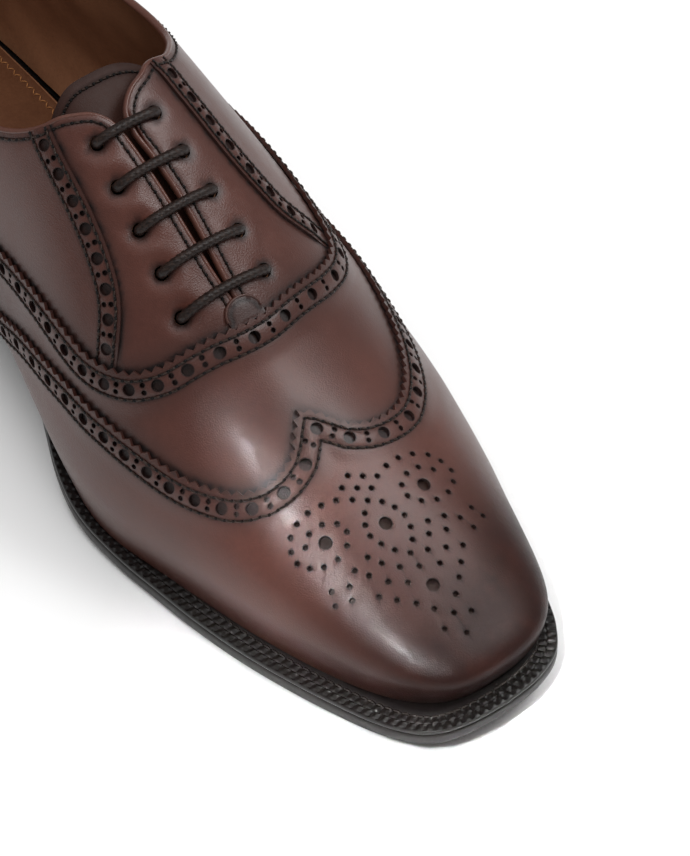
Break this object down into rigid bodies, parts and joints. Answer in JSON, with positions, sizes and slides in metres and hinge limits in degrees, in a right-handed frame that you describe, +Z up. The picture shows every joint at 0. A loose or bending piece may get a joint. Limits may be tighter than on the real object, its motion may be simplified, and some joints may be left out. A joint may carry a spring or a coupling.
{
  "type": "leather oxford shoe",
  "caption": "Left full-brogue closed-lacing dress shoe with a wing cap, laced facings, hinged tongue, leather welted sole and a stacked leather heel.",
  "frame": {"origin": "centre of the bounding box on the ground plane", "axes": "+X towards the toe, +Y towards the outer side of the left foot, +Z up"},
  "size_m": [0.3038, 0.104, 0.1042],
  "materials": {
    "burnished_calf": "dark reddish-brown calf, hand burnished, darker at the toe, edges and seams",
    "lining_leather": "natural tan lining leather, matte",
    "welt_leather": "black-brown wheeled welt, waxed",
    "sole_edge_leather": "dark inked and waxed leather edge",
    "stiffener_board": "pressed stiffener board, hidden",
    "cork": "granular cork filler, hidden",
    "spring_steel": "spring steel strip, hidden",
    "heel_rubber": "black moulded rubber, matte",
    "waxed_cotton": "dark brown round waxed cotton lace",
    "lace_tip": "shrunk lace tip",
    "brass_nail": "small brass heel nails"
  },
  "bodies": {
    "shoe": {"wing_cap": "burnished_calf", "vamp": "burnished_calf", "heel_counter_cover": "burnished_calf", "facing_medial": "burnished_calf", "facing_lateral": "burnished_calf", "quarter_medial": "burnished_calf", "quarter_lateral": "burnished_calf", "throat_stay": "burnished_calf", "quarter_lining_medial": "lining_leather", "quarter_lining_lateral": "lining_leather", "vamp_lining": "lining_leather", "heel_grip": "lining_leather", "insole": "lining_leather", "heel_sock": "lining_leather", "outsole": "sole_edge_leather", "welt": "welt_leather", "heel_lift_1": "sole_edge_leather", "heel_lift_2": "sole_edge_leather", "heel_lift_3": "sole_edge_leather", "toe_puff": "stiffener_board", "heel_stiffener": "stiffener_board", "cork_filler": "cork", "steel_shank": "spring_steel", "heel_top_piece": "heel_rubber", "lace": "waxed_cotton", "lace_aglet_1": "lace_tip", "lace_aglet_2": "lace_tip", "heel_nail_1": "brass_nail", "heel_nail_2": "brass_nail", "heel_nail_3": "brass_nail", "heel_nail_4": "brass_nail", "heel_nail_5": "brass_nail", "heel_nail_6": "brass_nail", "heel_nail_7": "brass_nail"},
    "tongue": {"tongue": "burnished_calf", "tongue_lining": "lining_leather"}
  },
  "joints": [
    {"name": "tongue_hinge", "type": "hinge", "parent": "shoe", "child": "tongue", "pos_m": [0.047, -0.0076, 0.056], "axis": [0, -1, 0], "range_deg": [0, 15], "stiffness_Nm_per_rad": 0.3, "springref_deg": -3.44}
  ]
}
